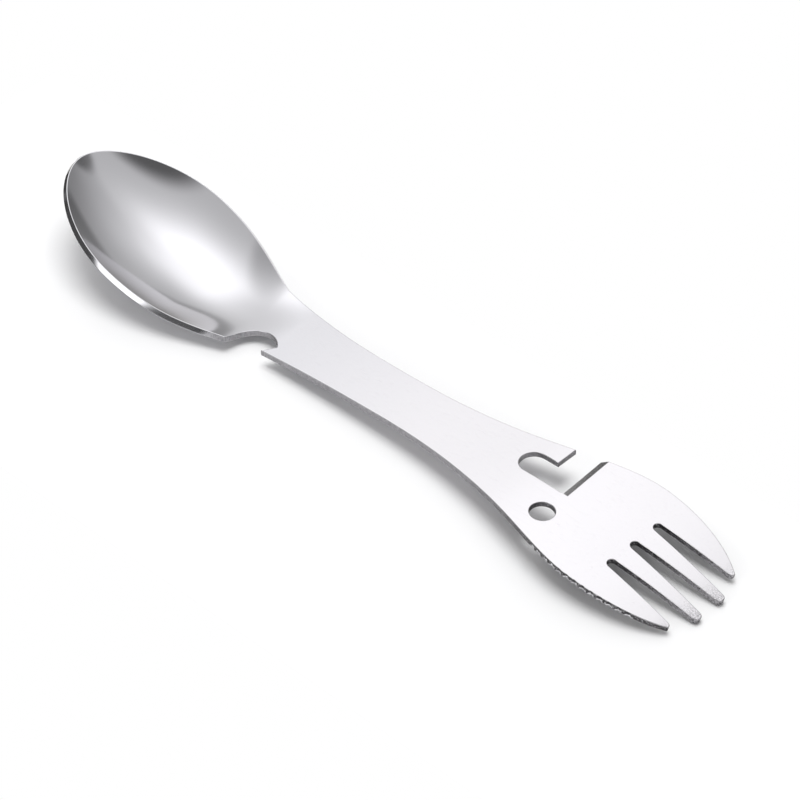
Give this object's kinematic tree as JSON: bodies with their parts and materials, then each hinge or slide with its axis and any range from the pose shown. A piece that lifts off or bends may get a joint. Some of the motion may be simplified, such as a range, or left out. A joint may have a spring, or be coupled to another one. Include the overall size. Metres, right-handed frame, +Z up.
{
  "type": "cutlery multi-tool",
  "caption": "Pressed sheet-steel multi-tool with a spoon bowl at one end and a fork at the other, a bottle-opener notch, a can-opener slot, a serrated edge and a hanging hole.",
  "frame": {"origin": "centre of the bounding box, on the table that the tool lies on", "axes": "+X from the bowl's tip to the tines' tips, +Y to the can opener's side, +Z up, with the bowl open upwards"},
  "size_m": [0.202, 0.0398, 0.0199],
  "materials": {
    "stainless": "polished bowl, fine satin handle and fork, bare sheared edges"
  },
  "bodies": {
    "root": {"tool_body": "stainless"}
  },
  "joints": []
}
